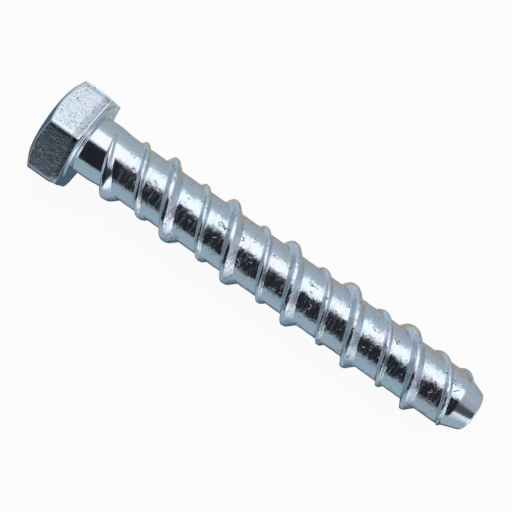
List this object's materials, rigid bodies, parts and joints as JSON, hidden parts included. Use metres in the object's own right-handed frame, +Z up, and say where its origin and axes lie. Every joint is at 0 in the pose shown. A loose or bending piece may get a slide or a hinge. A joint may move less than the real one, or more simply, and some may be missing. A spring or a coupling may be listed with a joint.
{
  "type": "concrete screw",
  "caption": "Hexagon-head concrete screw with a flanged bearing ring, a short plain shank, a high ridge and a low ridge of coarse thread on a slim core, and a blunt tapered tip.",
  "frame": {"origin": "on the surface the screw lies on, at the centre of its bounding box seen from above", "axes": "+Z up; the screw lies along X with its head towards -X and its tip towards +X, on one flat of the head and on a crest of the high ridge"},
  "size_m": [0.0654, 0.015, 0.0131],
  "materials": {
    "zinc": "bright blue-white zinc plating over rolled steel"
  },
  "bodies": {
    "root": {"screw": "zinc"}
  },
  "joints": []
}
